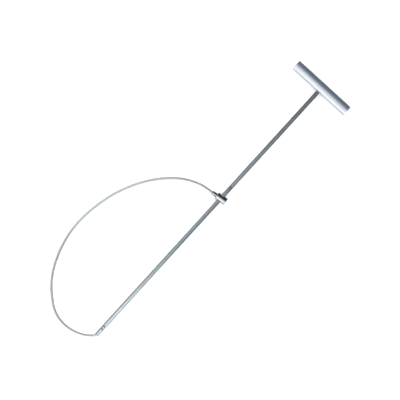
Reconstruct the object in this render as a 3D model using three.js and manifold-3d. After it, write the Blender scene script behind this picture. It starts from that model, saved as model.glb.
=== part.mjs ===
// A pig holder: a T-handled steel rod with a wire-rope loop that a sliding, self-locking barrel draws tight.
// Millimetres, +Z up. The holder lies flat: rod along X (handle at +X), loop towards +Y, table at z = 0.
// The origin is under the middle of the rigid parts' box, on the table.

import * as THREE from 'three';
import * as BufferGeometryUtils from 'three/addons/utils/BufferGeometryUtils.js';
import Module from 'manifold-3d';

const wasm = await Module();
wasm.setup();

// ---- Driving dimensions ----

const gap = 0.3;

const rodRadius = 4;
const exposedRodLength = 611;
const handleRadius = 10.3;
const handleLength = 129;
const handleEdge = 1.2;
const handleSocketDepth = 16;

const swagedTipLength = 27;
const swagedTipRadius = 3.7;
const crimpRadius = 3.25;
const crimpHalfWidth = 1.3;
const crimpStations = [15.5, 21.6];
const ropeSocketDepth = 31.5;
const ropeMouthRadius = 3.25;
const ropeMouthDepth = 3;

const ropeRadius = 2.38;
const ropeSides = 10;
const ropeSteps = 78;

const barrelRadius = 7;
const barrelLength = 21;
const barrelEdge = 1.6;
const barrelBoreRadius = 5.25;
const barrelTilt = THREE.MathUtils.degToRad(7);
const sliderStation = 343.6;
const barrelOffset = -0.8;

const studPlugRadius = 3.2;
const studPlugStart = 7.1;
const studRadius = 3.75;
const studMouthRadius = 3.1;
const studTaperStart = 17;
const studMouth = 20.5;
const studBoreFloor = 9.3;

const pinRadius = 1.5;
const pinChamfer = 0.4;
const pinRecess = 0.8;
const pinTop = 15.5;

// ---- Places worked out from them ----

const axisHeight = handleRadius;
const tipX = -(exposedRodLength + 2 * handleRadius) / 2;
const handleX = tipX + exposedRodLength + handleRadius;
const rodLength = exposedRodLength + handleSocketDepth - gap;
const ropeBoreRadius = ropeRadius + gap;
const barrelHalf = barrelLength / 2;
const socketFloor = studPlugStart - gap;

// The rope's centre line, from the bottom of its socket in the rod round to the bottom of its socket in the
// stud. x runs along the rod from the tip, y towards the loop, z up from the table.
const ropeRoute = [
  [30.6, 0, 10.3], [15, 0, 10.3], [3, 0, 10.3], [0.2, 0.4, 10.3], [-2.3, 1.5, 10.3], [-4.6, 3.4, 10.3], [-8.8, 8, 10.2],
  [-13.2, 13.6, 9.9], [-17, 20, 9.4], [-20.6, 28, 8.6], [-23.6, 37.5, 7.5], [-25.7, 48, 6.2], [-26.2, 60, 4.7],
  [-24.8, 72, 3.5], [-21, 84, 2.8], [-15, 95, 2.5], [-6, 106.5, 2.4], [5, 118.5, 2.4], [18, 130, 2.4],
  [33, 140, 2.4], [51, 149, 2.4], [72, 157, 2.4], [96, 163, 2.4], [120, 166, 2.4], [145, 166, 2.4],
  [170, 163.2, 2.4], [195, 158.3, 2.4], [220, 151, 2.4], [244, 141, 2.4], [267, 128.5, 2.4], [288, 113.5, 2.4],
  [306, 97, 2.6], [321, 79, 3.6], [331, 61, 5.5], [337.2, 45, 7.9], [339.5, 32.4, 9.6], [340.5, 24.5, 10.2],
  [341.5, 16.1, 10.3], [342.4, 8.7, 10.3],
];

// ---- Helpers ----

function toSolid(geometry) {
  const bare = geometry.clone();
  bare.deleteAttribute('normal');
  bare.deleteAttribute('uv');
  const merged = BufferGeometryUtils.mergeVertices(bare, 1e-4);
  return new wasm.Manifold(new wasm.Mesh({
    numProp: 3,
    vertProperties: new Float32Array(merged.attributes.position.array),
    triVerts: new Uint32Array(merged.index.array),
  }));
}

function toGeometry(solid) {
  const mesh = solid.getMesh();
  const geometry = new THREE.BufferGeometry();
  geometry.setAttribute('position', new THREE.BufferAttribute(mesh.vertProperties, mesh.numProp));
  geometry.setIndex(new THREE.BufferAttribute(mesh.triVerts, 1));
  geometry.computeVertexNormals();
  return geometry;
}

// Cuts each tool from the body and gives the geometry that is left.
function cut(body, ...tools) {
  const left = tools.reduce((solid, tool) => solid.subtract(toSolid(tool)), toSolid(body));
  return toGeometry(left);
}

// A body of revolution about +Y. The profile is a list of [radius, distance along the axis], from low to high.
function turned(profile, segments) {
  const points = profile.map(([radius, along]) => new THREE.Vector2(radius, along));
  return new THREE.LatheGeometry(points, segments);
}

// A round bar about +Y from low to high, with a chamfer or a rounding of the given size at both ends.
function bar(radius, low, high, edge, segments, edgeSteps = 1) {
  const profile = [[0, low]];
  for (let i = 0; i <= edgeSteps; i += 1) {
    const turn = (i / edgeSteps) * (Math.PI / 2);
    profile.push([radius - edge * (1 - Math.sin(turn)), low + edge * (1 - Math.cos(turn))]);
  }
  for (let i = edgeSteps; i >= 0; i -= 1) {
    const turn = (i / edgeSteps) * (Math.PI / 2);
    profile.push([radius - edge * (1 - Math.sin(turn)), high - edge * (1 - Math.cos(turn))]);
  }
  profile.push([0, high]);
  return turned(profile, segments);
}

function plainHole(radius, low, high, segments) {
  return turned([[0, low], [radius, low], [radius, high], [0, high]], segments);
}

function steel(colour, roughness) {
  return new THREE.MeshStandardMaterial({ color: colour, roughness, metalness: 1 });
}

function part(name, geometry, material) {
  const mesh = new THREE.Mesh(geometry, material);
  mesh.name = name;
  return mesh;
}

// ---- Handle ----

// The cross bar is drilled from the rod's side to take the rod's end, and from below for the pin.
function handleBar() {
  const body = bar(handleRadius, -handleLength / 2, handleLength / 2, handleEdge, 72, 3);
  const rodHole = plainHole(rodRadius + gap, -2 * handleRadius, -handleRadius + handleSocketDepth, 40);
  rodHole.rotateZ(-Math.PI / 2);
  const pinHole = plainHole(pinRadius + gap, -axisHeight - 1, pinTop + gap - axisHeight, 24);
  pinHole.rotateX(Math.PI / 2);
  const mesh = part('handle_bar', cut(body, rodHole, pinHole), steel(0xd3d8dc, 0.3));
  mesh.position.set(handleX, 0, axisHeight);
  return mesh;
}

// A pin from below goes through the rod's end and locks it in the bar.
function handlePin() {
  const geometry = bar(pinRadius, pinRecess, pinTop, pinChamfer, 24);
  geometry.rotateX(Math.PI / 2);
  const mesh = part('handle_pin', geometry, steel(0x8b9095, 0.4));
  mesh.position.set(handleX, 0, 0);
  return mesh;
}

// ---- Rod ----

// The rod's tip is drilled for the rope and swaged down on it, with two crimped waists.
function rod() {
  const outline = [
    [0, 0],
    [swagedTipRadius - 0.5, 0],
    [swagedTipRadius, 0.6],
  ];
  crimpStations.forEach((station) => {
    outline.push([swagedTipRadius, station - crimpHalfWidth]);
    outline.push([crimpRadius, station - crimpHalfWidth / 3]);
    outline.push([crimpRadius, station + crimpHalfWidth / 3]);
    outline.push([swagedTipRadius, station + crimpHalfWidth]);
  });
  outline.push([swagedTipRadius, swagedTipLength - 2]);
  outline.push([rodRadius, swagedTipLength + 1]);
  outline.push([rodRadius, rodLength - 1]);
  outline.push([rodRadius - 1, rodLength]);
  outline.push([0, rodLength]);
  const body = turned(outline, 40);
  const ropeHole = turned([
    [0, -1],
    [ropeMouthRadius, -1],
    [ropeMouthRadius, 0],
    [ropeBoreRadius, ropeMouthDepth],
    [ropeBoreRadius, ropeSocketDepth],
    [0, ropeSocketDepth],
  ], 32);
  const pinHole = plainHole(pinRadius + gap, -2 * rodRadius, 2 * rodRadius, 24);
  pinHole.rotateX(Math.PI / 2);
  pinHole.translate(0, exposedRodLength + handleRadius, 0);
  const geometry = cut(body, ropeHole, pinHole);
  geometry.rotateZ(-Math.PI / 2);
  const mesh = part('rod', geometry, steel(0x7d868c, 0.32));
  mesh.position.set(tipX, 0, axisHeight);
  return mesh;
}

// ---- Slider ----

// The barrel's cross bore is wider than the rod, so a pull on the rope cocks the barrel and it bites the rod.
function sliderBarrel() {
  const body = bar(barrelRadius, -barrelHalf, barrelHalf, barrelEdge, 56, 4);
  const rodBore = plainHole(barrelBoreRadius, -2 * barrelRadius, 2 * barrelRadius, 48);
  rodBore.rotateZ(-Math.PI / 2);
  rodBore.translate(0, -barrelOffset, 0);
  const studSocket = plainHole(studPlugRadius + gap, socketFloor, barrelHalf + 1, 32);
  return part('slider_barrel', cut(body, rodBore, studSocket), steel(0x5c6468, 0.18));
}

// The stud is swaged on the rope's end, and its plug sits in the barrel's end.
function cableStud() {
  const collar = barrelHalf + gap;
  const body = turned([
    [0, studPlugStart],
    [studPlugRadius, studPlugStart],
    [studPlugRadius, collar],
    [studRadius, collar],
    [studRadius, studTaperStart],
    [studMouthRadius, studMouth],
    [0, studMouth],
  ], 32);
  const ropeHole = plainHole(ropeBoreRadius, studBoreFloor - gap, studMouth + 1, 32);
  return part('cable_stud', cut(body, ropeHole), steel(0x6a7276, 0.3));
}

function slider() {
  const group = new THREE.Group();
  group.add(sliderBarrel(), cableStud());
  group.position.set(tipX + sliderStation, barrelOffset, axisHeight);
  group.rotation.z = barrelTilt;
  return group;
}

// ---- Wire rope ----

// A plain round tube along the rope's centre line, at its real length and diameter.
function wireRope() {
  const points = ropeRoute.map(([x, y, z]) => new THREE.Vector3(tipX + x, y, z));
  const section = new THREE.Shape();
  for (let i = 0; i < ropeSides; i += 1) {
    const angle = (2 * Math.PI * i) / ropeSides;
    const [u, v] = [ropeRadius * Math.cos(angle), ropeRadius * Math.sin(angle)];
    if (i === 0) {
      section.moveTo(u, v);
    } else {
      section.lineTo(u, v);
    }
  }
  const geometry = new THREE.ExtrudeGeometry(section, {
    steps: ropeSteps,
    extrudePath: new THREE.CatmullRomCurve3(points),
  });
  return part('wire_rope', geometry, steel(0xb4babf, 0.35));
}

const pigHolder = new THREE.Group();
pigHolder.add(rod(), handleBar(), handlePin(), slider(), wireRope());

export default pigHolder;
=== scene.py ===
"""A hog holder: a steel rod with a T handle and a wire-rope loop that a sliding barrel draws tight.

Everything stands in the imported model's frame. The rod lies along X with its handle at +X, the loop lies
towards +Y, and the holder rests on a table at z = 0. Shapes are worked out in millimetres and placed in
metres.
"""

import logging
import math
from dataclasses import dataclass
from enum import Enum

import bmesh
import bpy
import numpy as np
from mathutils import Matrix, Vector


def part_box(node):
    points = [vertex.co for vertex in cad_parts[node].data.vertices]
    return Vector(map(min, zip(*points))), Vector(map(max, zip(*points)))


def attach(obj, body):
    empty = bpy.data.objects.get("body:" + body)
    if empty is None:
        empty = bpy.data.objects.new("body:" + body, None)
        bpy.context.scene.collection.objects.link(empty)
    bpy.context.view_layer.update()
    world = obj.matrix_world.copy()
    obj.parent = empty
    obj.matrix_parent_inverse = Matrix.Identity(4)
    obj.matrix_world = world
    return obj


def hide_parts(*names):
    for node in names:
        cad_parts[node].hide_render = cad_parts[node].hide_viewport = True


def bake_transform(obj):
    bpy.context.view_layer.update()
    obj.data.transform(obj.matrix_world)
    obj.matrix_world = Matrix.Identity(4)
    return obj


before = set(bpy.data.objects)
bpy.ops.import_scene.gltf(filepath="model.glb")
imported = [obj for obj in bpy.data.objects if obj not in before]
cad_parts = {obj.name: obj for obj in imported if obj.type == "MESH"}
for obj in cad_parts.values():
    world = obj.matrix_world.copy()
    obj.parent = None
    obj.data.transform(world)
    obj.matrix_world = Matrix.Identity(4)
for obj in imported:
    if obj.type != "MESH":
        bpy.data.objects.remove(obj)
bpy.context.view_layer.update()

MM = 0.001
WELD = 1e-6
SHARP_DEGREES = 32.0
LIP_CROWDING = 1.4

log = logging.getLogger("hog_holder")


# ---------------------------------------------------------------- placing and welding surfaces


@dataclass(frozen=True)
class Placement:
    """Where a piece's own axes stand in the frame: an origin in metres and two unit directions.

    Local x runs across, local y along the piece's axis, and local z is square to both.
    """

    origin: tuple[float, float, float]
    along: tuple[float, float, float]
    across: tuple[float, float, float]

    def place(self, points: np.ndarray) -> np.ndarray:
        """Turn local millimetres into metres in the frame.

        Args:
            points: local x, y, z in millimetres, in the last axis of the array.

        Returns:
            The same points in metres: origin + x * across + y * along + z * (across x along).
        """
        across, along = np.array(self.across), np.array(self.along)
        axes = np.stack([across, along, np.cross(across, along)])
        return np.array(self.origin) + MM * points @ axes


class Skin:
    """A closed surface put together from grids of points that meet edge to edge."""

    def __init__(self, placement: Placement) -> None:
        """Start an empty surface.

        Args:
            placement: the axes that its points are given in.
        """
        self.placement = placement
        self.points: list[np.ndarray] = []
        self.quads: list[np.ndarray] = []
        self.count = 0

    def add(self, grid: np.ndarray) -> None:
        """Add a grid of local points, whose cells become four-sided faces.

        Args:
            grid: an array of rows, columns and local x, y, z in millimetres.
        """
        rows, columns = grid.shape[:2]
        index = self.count + np.arange(rows * columns).reshape(rows, columns)
        cells = [index[:-1, :-1], index[1:, :-1], index[1:, 1:], index[:-1, 1:]]
        self.quads.append(np.stack(cells, axis=-1).reshape(-1, 4))
        self.points.append(grid.reshape(-1, 3))
        self.count += rows * columns

    def weld(self, name: str, sharp_degrees: float = SHARP_DEGREES) -> bpy.types.Object:
        """Make the surface one mesh, with doubled points merged and its faces turned outwards.

        Args:
            name: the new piece's name.
            sharp_degrees: edges that turn by more than this stay crisp.

        Returns:
            The new object, at the origin, with its place in its mesh.
        """
        mesh = bpy.data.meshes.new(name)
        placed = self.placement.place(np.concatenate(self.points))
        mesh.from_pydata(placed.tolist(), [], np.concatenate(self.quads).tolist())
        body = bmesh.new()
        body.from_mesh(mesh)
        bmesh.ops.remove_doubles(body, verts=body.verts, dist=WELD)
        bmesh.ops.recalc_face_normals(body, faces=body.faces)
        open_edges = sum(1 for edge in body.edges if not edge.is_manifold)
        body.to_mesh(mesh)
        body.free()
        mesh.shade_smooth()
        mesh.set_sharp_from_angle(angle=math.radians(sharp_degrees))
        piece = bpy.data.objects.new(name, mesh)
        bpy.context.scene.collection.objects.link(piece)
        if open_edges:
            log.warning("%s has %d open edges", name, open_edges)
        return piece


def coordinates(piece: bpy.types.Object) -> np.ndarray:
    """Read where the piece's vertices are.

    Args:
        piece: the object to read.

    Returns:
        Their positions in metres, one row for each vertex.
    """
    flat = np.empty(len(piece.data.vertices) * 3, np.float32)
    piece.data.vertices.foreach_get("co", flat)
    return flat.reshape(-1, 3).astype(float)


def paint(piece: bpy.types.Object, name: str, values: np.ndarray) -> None:
    """Store one number from 0 to 1 at each vertex, which the piece's finish reads.

    Args:
        piece: the object whose mesh takes the numbers.
        name: the attribute's name.
        values: one number for each vertex.
    """
    attribute = piece.data.attributes.new(name, "FLOAT", "POINT")
    attribute.data.foreach_set("value", np.clip(values, 0, 1).astype(np.float32))


def near(distance: np.ndarray, reach: float) -> np.ndarray:
    """Return 1 at no distance, falling to 0 well past the reach: exp(-(distance / reach) squared)."""
    return np.exp(-((distance / reach) ** 2))


# ---------------------------------------------------------------- shapes as functions


def arc(middle: tuple[float, float], radius: float, start: float, stop: float, steps: int) -> np.ndarray:
    """Give the points of an arc in a turned profile.

    Args:
        middle: the arc's middle, as distance along the axis and distance from it.
        radius: the arc's radius.
        start: the first angle in degrees, from the axis direction towards the outside.
        stop: the last angle in degrees.
        steps: how many chords the arc has.

    Returns:
        Rows of (along, out): middle + radius * (cos angle, sin angle).
    """
    angle = np.radians(np.linspace(start, stop, steps + 1))
    return np.stack([middle[0] + radius * np.cos(angle), middle[1] + radius * np.sin(angle)], axis=1)


def turned(profile: np.ndarray, segments: int) -> np.ndarray:
    """Turn a profile about local y.

    Args:
        profile: rows of (distance along y, distance from y).
        segments: how many steps one turn has.

    Returns:
        A grid whose point is (out * cos turn, along, out * sin turn), for each profile row and each turn
        angle.
    """
    turn = np.linspace(0, 2 * math.pi, segments + 1)
    along, out = profile[:, :1], profile[:, 1:]
    return np.stack([out * np.cos(turn), along + 0 * turn, out * np.sin(turn)], axis=-1)


@dataclass(frozen=True)
class Opening:
    """A round hole bored square into the side of a cylinder, and the patch of wall round it.

    The patch is the piece of wall within half_turn of the hole's direction and between two distances
    along y. Its outer border is evenly spaced, so that plain strips meet it point for point.
    """

    cylinder: float
    facing: float
    half_turn: float
    low: float
    high: float
    hole_y: float
    hole: float
    lip: float
    turn_steps: int
    along_steps: int

    def border(self) -> tuple[np.ndarray, np.ndarray]:
        """Walk once round the patch's rectangle.

        Returns:
            The turn angle of each point of the border and its y, with the first point repeated at the end.
        """
        turn = np.linspace(-self.half_turn, self.half_turn, self.turn_steps + 1)
        along = np.linspace(self.low, self.high, self.along_steps + 1)
        turns = [turn[:-1], 0 * along[:-1] + self.half_turn, turn[:0:-1], 0 * along - self.half_turn]
        alongs = [0 * turn[:-1] + self.low, along[:-1], 0 * turn[:-1] + self.high, along[::-1]]
        return np.concatenate(turns), np.concatenate(alongs)

    def bearing(self) -> np.ndarray:
        """Return the direction from the hole's middle to each border point, measured on the unrolled wall."""
        turn, along = self.border()
        return np.arctan2(self.cylinder * turn, along - self.hole_y)

    def spot(self, aside: np.ndarray, along: np.ndarray, out: np.ndarray) -> np.ndarray:
        """Turn a point beside the hole's direction into local x, y, z.

        Args:
            aside: the distance to the side of the hole's direction.
            along: the distance along y.
            out: the distance from the cylinder's axis in the hole's direction.

        Returns:
            out * direction + aside * (direction turned a quarter), with y unchanged.
        """
        cosine, sine = math.cos(self.facing), math.sin(self.facing)
        return np.stack([out * cosine - aside * sine, along, out * sine + aside * cosine], axis=-1)

    def rim(self, radius: float, depth: float) -> np.ndarray:
        """Give the ring where a round hole meets the wall, moved inwards.

        Args:
            radius: the hole's radius.
            depth: how far the ring is moved towards the cylinder's axis.

        Returns:
            Points at out = sqrt(cylinder squared - aside squared) - depth, for each bearing.
        """
        bearing = self.bearing()
        aside = radius * np.sin(bearing)
        out = np.sqrt(self.cylinder**2 - aside**2) - depth
        return self.spot(aside, self.hole_y + radius * np.cos(bearing), out)

    def wall(self, rings: int) -> np.ndarray:
        """Give the patch of wall from the hole's lip to the border.

        Args:
            rings: how many steps there are from the lip to the border.

        Returns:
            A grid that mixes the lip and the border on the unrolled wall, closer together near the lip.
        """
        bearing = self.bearing()
        turn, along = self.border()
        reach = self.hole + self.lip
        lip_turn = np.arcsin(reach * np.sin(bearing) / self.cylinder)
        lip_along = self.hole_y + reach * np.cos(bearing)
        share = np.linspace(0, 1, rings + 1)[:, None] ** LIP_CROWDING
        mixed_turn = (1 - share) * lip_turn + share * turn
        mixed_along = (1 - share) * lip_along + share * along
        return self.spot(
            self.cylinder * np.sin(mixed_turn), mixed_along, self.cylinder * np.cos(mixed_turn)
        )

    def rounded_lip(self, steps: int) -> np.ndarray:
        """Give the rounding between the wall and the hole.

        Args:
            steps: how many steps the rounding has.

        Returns:
            A grid that follows, at each bearing, a parabola from the wall to the hole whose corner is the
            sharp rim.
        """
        share = np.linspace(0, 1, steps + 1)[:, None, None]
        outer, corner = self.rim(self.hole + self.lip, 0), self.rim(self.hole, 0)
        inner = self.rim(self.hole, self.lip)
        return (1 - share) ** 2 * outer + 2 * share * (1 - share) * corner + share**2 * inner

    def bored_through(self, steps: int) -> np.ndarray:
        """Give the wall of a hole that goes right through.

        Args:
            steps: how many steps there are from side to side.

        Returns:
            A grid of straight lines from one rounded lip to its mirror image on the opposite side.
        """
        near_side = self.rim(self.hole, self.lip)
        cosine, sine = math.cos(self.facing), math.sin(self.facing)
        out = near_side[:, 0] * cosine + near_side[:, 2] * sine
        back = np.stack([2 * out * cosine, 0 * out, 2 * out * sine], axis=-1)
        share = np.linspace(0, 1, steps + 1)[:, None, None]
        return near_side - share * back

    def bored_blind(self, depth: float) -> np.ndarray:
        """Give the wall and the floor of a hole that ends inside.

        Args:
            depth: how far its flat floor is below the cylinder's top.

        Returns:
            A grid of three rings: the rounded lip's inner edge, the floor's edge and the floor's middle.
        """
        bearing = self.bearing()
        aside, along = self.hole * np.sin(bearing), self.hole_y + self.hole * np.cos(bearing)
        floor = np.full_like(bearing, self.cylinder - depth)
        middle = self.spot(0 * aside, 0 * along + self.hole_y, floor)
        return np.stack([self.rim(self.hole, self.lip), self.spot(aside, along, floor), middle])


def drill(piece: bpy.types.Object, drill_bit: bpy.types.Object) -> None:
    """Cut the bit's shape out of the piece, then throw the bit away.

    Args:
        piece: the object that is drilled.
        drill_bit: a closed object of the hole's shape.
    """
    cut = piece.modifiers.new("drill", "BOOLEAN")
    cut.operation = "DIFFERENCE"
    cut.solver = "EXACT"
    cut.object = drill_bit
    drilled = bpy.data.meshes.new_from_object(piece.evaluated_get(bpy.context.evaluated_depsgraph_get()))
    piece.modifiers.clear()
    rough, piece.data = piece.data, drilled
    drilled.name = piece.name
    bpy.data.meshes.remove(rough)
    bpy.data.objects.remove(drill_bit)


def straight_bit(placement: Placement, radius: float, low: float, high: float) -> bpy.types.Object:
    """Make a plain round cutter.

    Args:
        placement: the cutter's axes, with its length along local y.
        radius: its radius in millimetres.
        low: where it starts along local y.
        high: where it ends along local y.

    Returns:
        A closed cylinder for drill().
    """
    skin = Skin(placement)
    skin.add(turned(np.array([[low, 0], [low, radius], [high, radius], [high, 0]]), 48))
    return skin.weld("drill_bit")


# ---------------------------------------------------------------- finishes


class Marks(Enum):
    """Which way the fine tool marks of a finish run."""

    DRAWN_ALONG_X = "drawn_along_x"
    TURNED_ABOUT_Y = "turned_about_y"
    POLISHED = "polished"
    ALONG_UV = "along_uv"


MARK_SCALE = {
    Marks.DRAWN_ALONG_X: (9.0, 1500.0, 1500.0),
    Marks.TURNED_ABOUT_Y: (60.0, 3600.0, 60.0),
    Marks.POLISHED: (260.0, 260.0, 260.0),
    Marks.ALONG_UV: (3.0, 5.0, 1.0),
}

Colour = tuple[float, float, float]


class Tree:
    """A material's node tree with short calls to add and join nodes."""

    def __init__(self, name: str) -> None:
        """Start a material that has only an output.

        Args:
            name: the material's name.
        """
        self.material = bpy.data.materials.new(name)
        self.material.use_nodes = True
        self.nodes = self.material.node_tree.nodes
        self.nodes.clear()
        self.output = self.nodes.new("ShaderNodeOutputMaterial")

    def add(
        self, kind: str, values: dict[str | int, object] | None = None, **settings: object
    ) -> bpy.types.Node:
        """Add a node.

        Args:
            kind: the node's type.
            values: an input's name or number, and the value or the output socket that it takes.
            settings: the node's own properties.

        Returns:
            The new node.
        """
        node = self.nodes.new(kind)
        for key, setting in settings.items():
            setattr(node, key, setting)
        for key, value in (values or {}).items():
            if isinstance(value, bpy.types.NodeSocket):
                self.material.node_tree.links.new(value, node.inputs[key])
            else:
                node.inputs[key].default_value = value
        return node

    def ramp(
        self, source: bpy.types.NodeSocket, low: float, high: float, start: float, stop: float
    ) -> bpy.types.NodeSocket:
        """Map a value from one range to another, held at both ends.

        Args:
            source: the value's socket.
            low: the value that gives start.
            high: the value that gives stop.
            start: the result at low.
            stop: the result at high.

        Returns:
            The result's socket.
        """
        node = self.add("ShaderNodeMapRange", {0: source, 1: low, 2: high, 3: start, 4: stop}, clamp=True)
        return node.outputs[0]

    def mix(self, share: bpy.types.NodeSocket, first: object, second: object) -> bpy.types.NodeSocket:
        """Mix two colours, each a socket or a plain colour, by the share, and return the socket."""
        values = {0: share, 6: first, 7: second}
        return self.add("ShaderNodeMix", values, data_type="RGBA").outputs[2]

    def maths(self, operation: str, first: object, second: object) -> bpy.types.NodeSocket:
        """Work out one sum of two values, each a socket or a number, and return the socket."""
        return self.add("ShaderNodeMath", {0: first, 1: second}, operation=operation).outputs[0]

    def grain(self, vector: bpy.types.NodeSocket, scale: float, detail: float = 4.0) -> bpy.types.NodeSocket:
        """Return a noise value at this scale on the given coordinates."""
        values = {"Vector": vector, "Scale": scale, "Detail": detail, "Roughness": 0.6}
        return self.add("ShaderNodeTexNoise", values).outputs[0]


def opaque(colour: Colour) -> tuple[float, float, float, float]:
    """Return the colour with full alpha."""
    return (*colour, 1.0)


@dataclass(frozen=True)
class MetalFinish:
    """A bare metal surface: its clean and dulled colours, its gloss, its tool marks, and how it wears; its
    bright colour also serves as painted sheen and its dark one as painted shade.
    """

    name: str
    clean: Colour
    dulled: Colour
    grime_and_shade: Colour
    worn_and_sheen: Colour
    roughness: float
    roughness_spread: float
    marks: Marks
    mark_depth: float
    mottle_scale: float = 120.0
    anisotropy: float = 0.0
    turn_degrees: float = 0.0
    fine_detail: float = 5.0
    broad_detail: float = 2.0
    broad_clouds: float = 7.0
    scratch_scale: float = 0.35
    scratch_from: float = 0.62
    scratch_to: float = 0.7
    scratch_depth: float = 0.5
    bump_strength: float = 0.6
    dirt_roughness: float = 0.3
    cloud_roughness: float = 0.6

    def make(self) -> bpy.types.Material:
        """Build the material.

        Returns:
            A metal whose colour drifts between clean and dulled in soft clouds, whose gloss follows fine
            tool marks and a few longer scratches, and that turns brighter where the piece is scuffed and
            where it carries painted sheen, and darker where it is dirty and where it carries painted shade.
        """
        tree = Tree(self.name)
        place = tree.add("ShaderNodeTexCoord")
        space = place.outputs["UV" if self.marks is Marks.ALONG_UV else "Object"]
        turned_space = tree.add(
            "ShaderNodeMapping", {0: space, "Rotation": (0.0, 0.0, -math.radians(self.turn_degrees))}
        ).outputs[0]
        marked_space = tree.add(
            "ShaderNodeMapping", {0: turned_space, "Scale": MARK_SCALE[self.marks]}
        ).outputs[0]
        marks = tree.grain(marked_space, 1.0, self.fine_detail)
        clouds = tree.grain(space, self.mottle_scale, self.fine_detail)
        broad = tree.grain(space, self.mottle_scale / self.broad_clouds, self.broad_detail)
        long_marks = tree.grain(marked_space, self.scratch_scale, self.broad_detail)
        scratches = tree.ramp(long_marks, self.scratch_from, self.scratch_to, 0.0, 1.0)
        # The first attribute is real wear, and on the rod also painted sheen; the second is dirt, and on the
        # rope painted shade.
        wear_and_sheen = tree.add("ShaderNodeAttribute", attribute_name="wear_and_sheen").outputs["Fac"]
        grime_and_shade = tree.add("ShaderNodeAttribute", attribute_name="grime_and_shade").outputs["Fac"]
        cloud_share = tree.ramp(tree.maths("ADD", clouds, broad), 0.75, 1.25, 0.0, 1.0)
        drifting = tree.mix(cloud_share, opaque(self.clean), opaque(self.dulled))
        rubbed_and_sheen_share = tree.maths("MULTIPLY", wear_and_sheen, tree.ramp(clouds, 0.35, 0.6, 0.8, 1.0))
        rubbed_and_sheen = tree.mix(rubbed_and_sheen_share, drifting, opaque(self.worn_and_sheen))
        dirt_and_shade_share = tree.maths("MULTIPLY", grime_and_shade, tree.ramp(clouds, 0.3, 0.62, 0.55, 1.0))
        colour = tree.mix(dirt_and_shade_share, rubbed_and_sheen, opaque(self.grime_and_shade))
        gloss = tree.ramp(
            marks, 0.3, 0.7, self.roughness - self.roughness_spread, self.roughness + self.roughness_spread
        )
        dulling = self.cloud_roughness * self.roughness_spread
        clouded = tree.maths("ADD", gloss, tree.ramp(cloud_share, 0.0, 1.0, 0.0, dulling))
        dirty = tree.maths("ADD", clouded, tree.ramp(dirt_and_shade_share, 0.0, 1.0, 0.0, self.dirt_roughness))
        relief = tree.maths("SUBTRACT", marks, tree.maths("MULTIPLY", scratches, self.scratch_depth))
        depth = self.mark_depth * MM
        bump = tree.add(
            "ShaderNodeBump", {"Height": relief, "Strength": self.bump_strength, "Distance": depth}
        )
        shader = tree.add(
            "ShaderNodeBsdfPrincipled",
            {
                "Base Color": colour,
                "Roughness": dirty,
                "Normal": bump.outputs[0],
                "Metallic": 1.0,
                "Anisotropic": self.anisotropy,
            },
        )
        tree.material.node_tree.links.new(shader.outputs[0], tree.output.inputs[0])
        return tree.material


DRAWN_STEEL = MetalFinish(
    name="drawn_steel",
    clean=(0.235, 0.25, 0.256),
    dulled=(0.185, 0.198, 0.204),
    grime_and_shade=(0.04, 0.045, 0.045),
    # This bright colour is painted sheen as well as wear: the rod is painted brighter towards its tip in
    # place of the reflection there.
    worn_and_sheen=(0.42, 0.475, 0.488),
    roughness=0.2,
    roughness_spread=0.06,
    marks=Marks.DRAWN_ALONG_X,
    mark_depth=0.004,
)
TURNED_ALUMINIUM = MetalFinish(
    name="turned_aluminium",
    clean=(0.87, 0.89, 0.91),
    dulled=(0.78, 0.81, 0.85),
    grime_and_shade=(0.2, 0.21, 0.22),
    worn_and_sheen=(0.93, 0.94, 0.95),
    roughness=0.3,
    roughness_spread=0.06,
    marks=Marks.TURNED_ABOUT_Y,
    mark_depth=0.006,
    anisotropy=0.25,
)
SPRING_STEEL = MetalFinish(
    name="spring_steel",
    clean=(0.42, 0.43, 0.45),
    dulled=(0.3, 0.31, 0.32),
    grime_and_shade=(0.05, 0.05, 0.05),
    worn_and_sheen=(0.5, 0.51, 0.53),
    roughness=0.35,
    roughness_spread=0.08,
    marks=Marks.POLISHED,
    mark_depth=0.004,
)
POLISHED_PLATE = MetalFinish(
    name="polished_plate",
    clean=(0.62, 0.65, 0.66),
    dulled=(0.53, 0.56, 0.56),
    grime_and_shade=(0.06, 0.065, 0.06),
    worn_and_sheen=(0.7, 0.73, 0.74),
    roughness=0.14,
    roughness_spread=0.04,
    marks=Marks.POLISHED,
    mark_depth=0.002,
    turn_degrees=7.0,
)
SWAGED_STEEL = MetalFinish(
    name="swaged_steel",
    clean=(0.5, 0.54, 0.56),
    dulled=(0.4, 0.43, 0.45),
    grime_and_shade=(0.06, 0.065, 0.065),
    worn_and_sheen=(0.55, 0.59, 0.61),
    roughness=0.24,
    roughness_spread=0.07,
    marks=Marks.TURNED_ABOUT_Y,
    mark_depth=0.004,
    turn_degrees=7.0,
)
BRIGHT_WIRE = MetalFinish(
    name="bright_wire",
    clean=(0.84, 0.88, 0.89),
    dulled=(0.7, 0.74, 0.75),
    # On the rope this dark colour is painted shade in the grooves.
    grime_and_shade=(0.09, 0.1, 0.105),
    worn_and_sheen=(0.87, 0.9, 0.91),
    roughness=0.26,
    roughness_spread=0.06,
    marks=Marks.ALONG_UV,
    mark_depth=0.002,
    mottle_scale=40.0,
)


def dress(piece: bpy.types.Object, finish: MetalFinish, body: str, node: str) -> bpy.types.Object:
    """Give a finished piece its material, its body and the frame node that it stands for.

    Args:
        piece: the finished object.
        finish: its surface.
        body: the body that it moves with.
        node: the frame's node that it replaces.

    Returns:
        The same object.
    """
    piece.data.materials.clear()
    piece.data.materials.append(finish.make())
    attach(piece, body)
    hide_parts(node)
    log.info("%s: %d faces on %s", piece.name, len(piece.data.polygons), body)
    return piece


# ---------------------------------------------------------------- studio


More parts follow.
